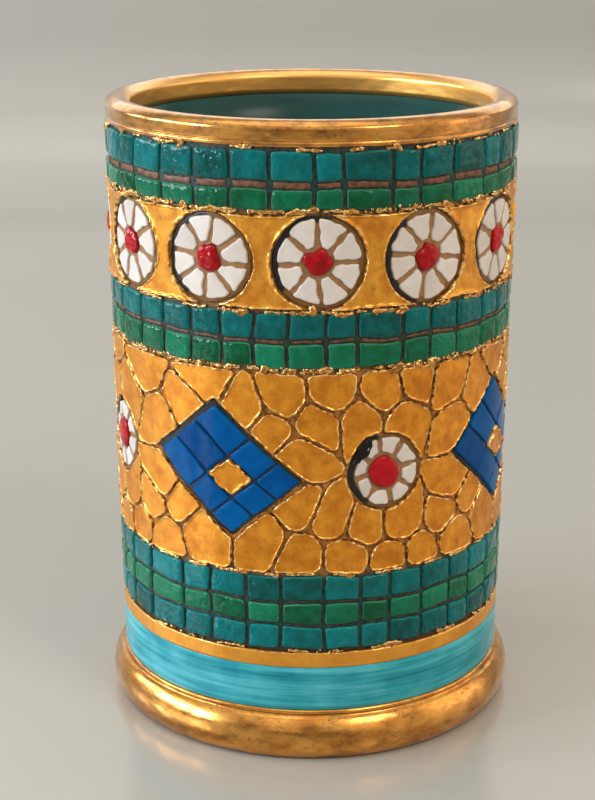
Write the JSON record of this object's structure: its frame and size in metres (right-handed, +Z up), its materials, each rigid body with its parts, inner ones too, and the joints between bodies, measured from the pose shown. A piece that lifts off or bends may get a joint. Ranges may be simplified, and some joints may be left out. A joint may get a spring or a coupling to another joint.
{
  "type": "ceramic pot",
  "caption": "Cylindrical earthenware pot with a round gilded lip and rolled gilded foot, its wall cut into glazed mosaic bands, flower medallions and gold crazy paving.",
  "frame": {"origin": "middle of the foot, on the surface that the pot stands on", "axes": "+Z up along the pot's axis, -Y towards the pictured front, +X to the right seen from the front"},
  "size_m": [0.093, 0.093, 0.138],
  "materials": {
    "clay": "bare fired earthenware, matt",
    "lining_glaze": "dark teal glaze, glossy",
    "gold_lustre": "gold lustre over glaze, satin to bright",
    "turquoise_glaze": "brushed turquoise glaze, glossy",
    "teal_glaze": "teal glaze, glossy",
    "green_glaze": "green glaze, glossy",
    "cobalt_glaze": "cobalt blue glaze, glossy",
    "white_glaze": "white glaze, glossy",
    "red_glaze": "red glaze, glossy"
  },
  "bodies": {
    "root": {"clay_body": "clay", "inner_glaze": "lining_glaze", "gilt_lip": "gold_lustre", "gilt_foot": "gold_lustre", "turquoise_band": "turquoise_glaze", "gilt_stripe": "gold_lustre", "upper_teal_tiles": "teal_glaze", "upper_green_tiles": "green_glaze", "frieze_ground": "gold_lustre", "middle_teal_tiles": "teal_glaze", "middle_green_tiles": "green_glaze", "gilt_paving": "gold_lustre", "lower_teal_tiles": "teal_glaze", "lower_green_tiles": "green_glaze", "base_teal_tiles": "teal_glaze", "medallion_01_petals": "white_glaze", "medallion_01_centre": "red_glaze", "medallion_02_petals": "white_glaze", "medallion_02_centre": "red_glaze", "medallion_03_petals": "white_glaze", "medallion_03_centre": "red_glaze", "medallion_04_petals": "white_glaze", "medallion_04_centre": "red_glaze", "medallion_05_petals": "white_glaze", "medallion_05_centre": "red_glaze", "medallion_06_petals": "white_glaze", "medallion_06_centre": "red_glaze", "medallion_07_petals": "white_glaze", "medallion_07_centre": "red_glaze", "medallion_08_petals": "white_glaze", "medallion_08_centre": "red_glaze", "medallion_09_petals": "white_glaze", "medallion_09_centre": "red_glaze", "medallion_10_petals": "white_glaze", "medallion_10_centre": "red_glaze", "medallion_11_petals": "white_glaze", "medallion_11_centre": "red_glaze", "medallion_12_petals": "white_glaze", "medallion_12_centre": "red_glaze", "flower_01_petals": "white_glaze", "flower_01_centre": "red_glaze", "flower_02_petals": "white_glaze", "flower_02_centre": "red_glaze", "flower_03_petals": "white_glaze", "flower_03_centre": "red_glaze", "flower_04_petals": "white_glaze", "flower_04_centre": "red_glaze", "lozenge_01_tiles": "cobalt_glaze", "lozenge_01_centre": "gold_lustre", "lozenge_02_tiles": "cobalt_glaze", "lozenge_02_centre": "gold_lustre", "lozenge_03_tiles": "cobalt_glaze", "lozenge_03_centre": "gold_lustre", "lozenge_04_tiles": "cobalt_glaze", "lozenge_04_centre": "gold_lustre"}
  },
  "joints": []
}
